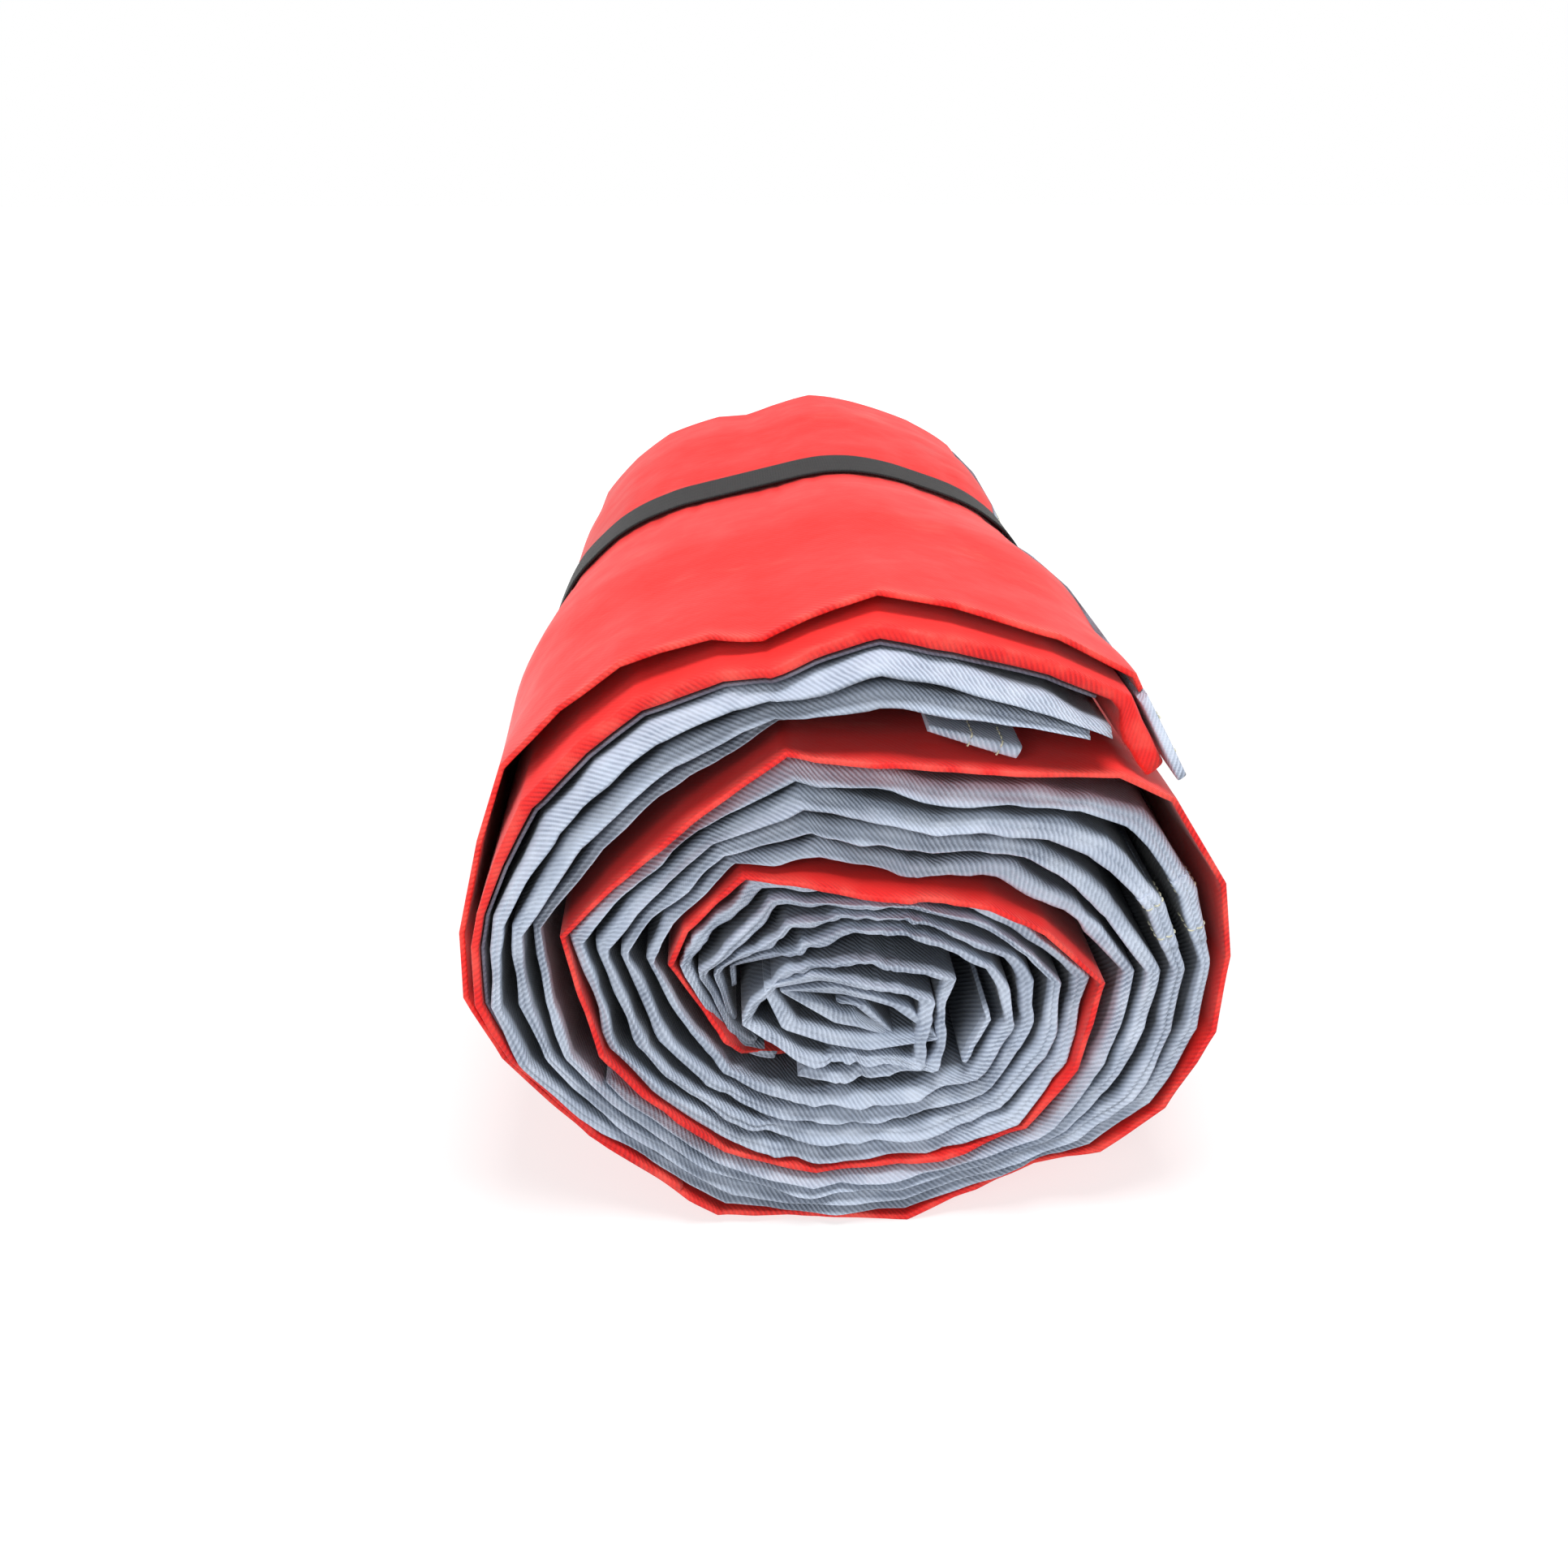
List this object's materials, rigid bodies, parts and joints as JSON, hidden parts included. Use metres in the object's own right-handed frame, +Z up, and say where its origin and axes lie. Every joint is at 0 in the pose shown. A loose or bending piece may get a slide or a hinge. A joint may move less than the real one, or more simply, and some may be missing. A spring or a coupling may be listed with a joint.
{
  "type": "rolled fire blanket",
  "caption": "Large red and grey coated-cloth fire blanket, folded, rolled up and held by a black webbing cinch strap with a steel ring.",
  "frame": {"origin": "centre of the box's bottom face, on the surface that the roll lies on", "axes": "+Z up, +Y along the roll from its front end to its far end, +X to the right seen from the front end"},
  "size_m": [0.3611, 0.64, 0.3043],
  "materials": {
    "red_cloth": "matte silicone-coated glass cloth, red face",
    "grey_cloth": "matte silicone-coated twill glass cloth, grey face",
    "thread": "pale fire-resistant sewing yarn",
    "webbing": "black woven webbing, slight sheen",
    "hook_and_loop": "black hook-and-loop tape, matte",
    "ring": "black-plated steel wire, satin"
  },
  "bodies": {
    "bundle": {"outer_panel": "red_cloth", "middle_panel": "grey_cloth", "inner_panel": "grey_cloth", "core_fold": "grey_cloth", "free_end_hem": "grey_cloth", "free_hem_thread_1": "thread", "free_hem_thread_2": "thread", "outer_lap_seam": "grey_cloth", "outer_lap_thread_1": "thread", "outer_lap_thread_2": "thread", "middle_lap_seam": "grey_cloth", "middle_lap_thread_1": "thread", "middle_lap_thread_2": "thread", "tucked_corner": "grey_cloth", "tucked_corner_thread_1": "thread", "tucked_corner_thread_2": "thread", "frayed_start": "grey_cloth", "strap_band": "webbing", "ring_anchor_loop": "webbing", "loop_patch": "hook_and_loop", "anchor_thread_1": "thread", "anchor_thread_2": "thread", "anchor_thread_3": "thread", "anchor_thread_4": "thread"},
    "front_dog_ear": {"front_corner": "red_cloth", "front_corner_hem": "grey_cloth", "front_hem_thread_1": "thread", "front_hem_thread_2": "thread"},
    "rear_dog_ear": {"rear_corner": "red_cloth", "rear_corner_hem": "grey_cloth", "rear_hem_thread_1": "thread", "rear_hem_thread_2": "thread"},
    "ring_link": {"cinch_ring": "ring"},
    "tail_end": {"strap_tail": "webbing", "hook_patch": "hook_and_loop", "tail_pull_tab": "hook_and_loop", "patch_thread_1": "thread", "patch_thread_2": "thread"}
  },
  "joints": [
    {"name": "front_corner_fold", "type": "hinge", "parent": "bundle", "child": "front_dog_ear", "pos_m": [0.0587, -0.272, 0.2995], "axis": [-0.3394, -0.9227, 0.1827], "range_deg": [0, 120]},
    {"name": "rear_corner_fold", "type": "hinge", "parent": "bundle", "child": "rear_dog_ear", "pos_m": [0.0577, 0.305, 0.2948], "axis": [0.4049, -0.8968, -0.1783], "range_deg": [0, 120]},
    {"name": "ring_swing", "type": "hinge", "parent": "bundle", "child": "ring_link", "pos_m": [0.1678, 0.048, 0.1758], "axis": [0, -1, 0], "range_deg": [0, 35]},
    {"name": "tail_peel", "type": "hinge", "parent": "ring_link", "child": "tail_end", "pos_m": [0.1737, 0.048, 0.1571], "axis": [0, -1, 0], "range_deg": [0, 130]}
  ]
}
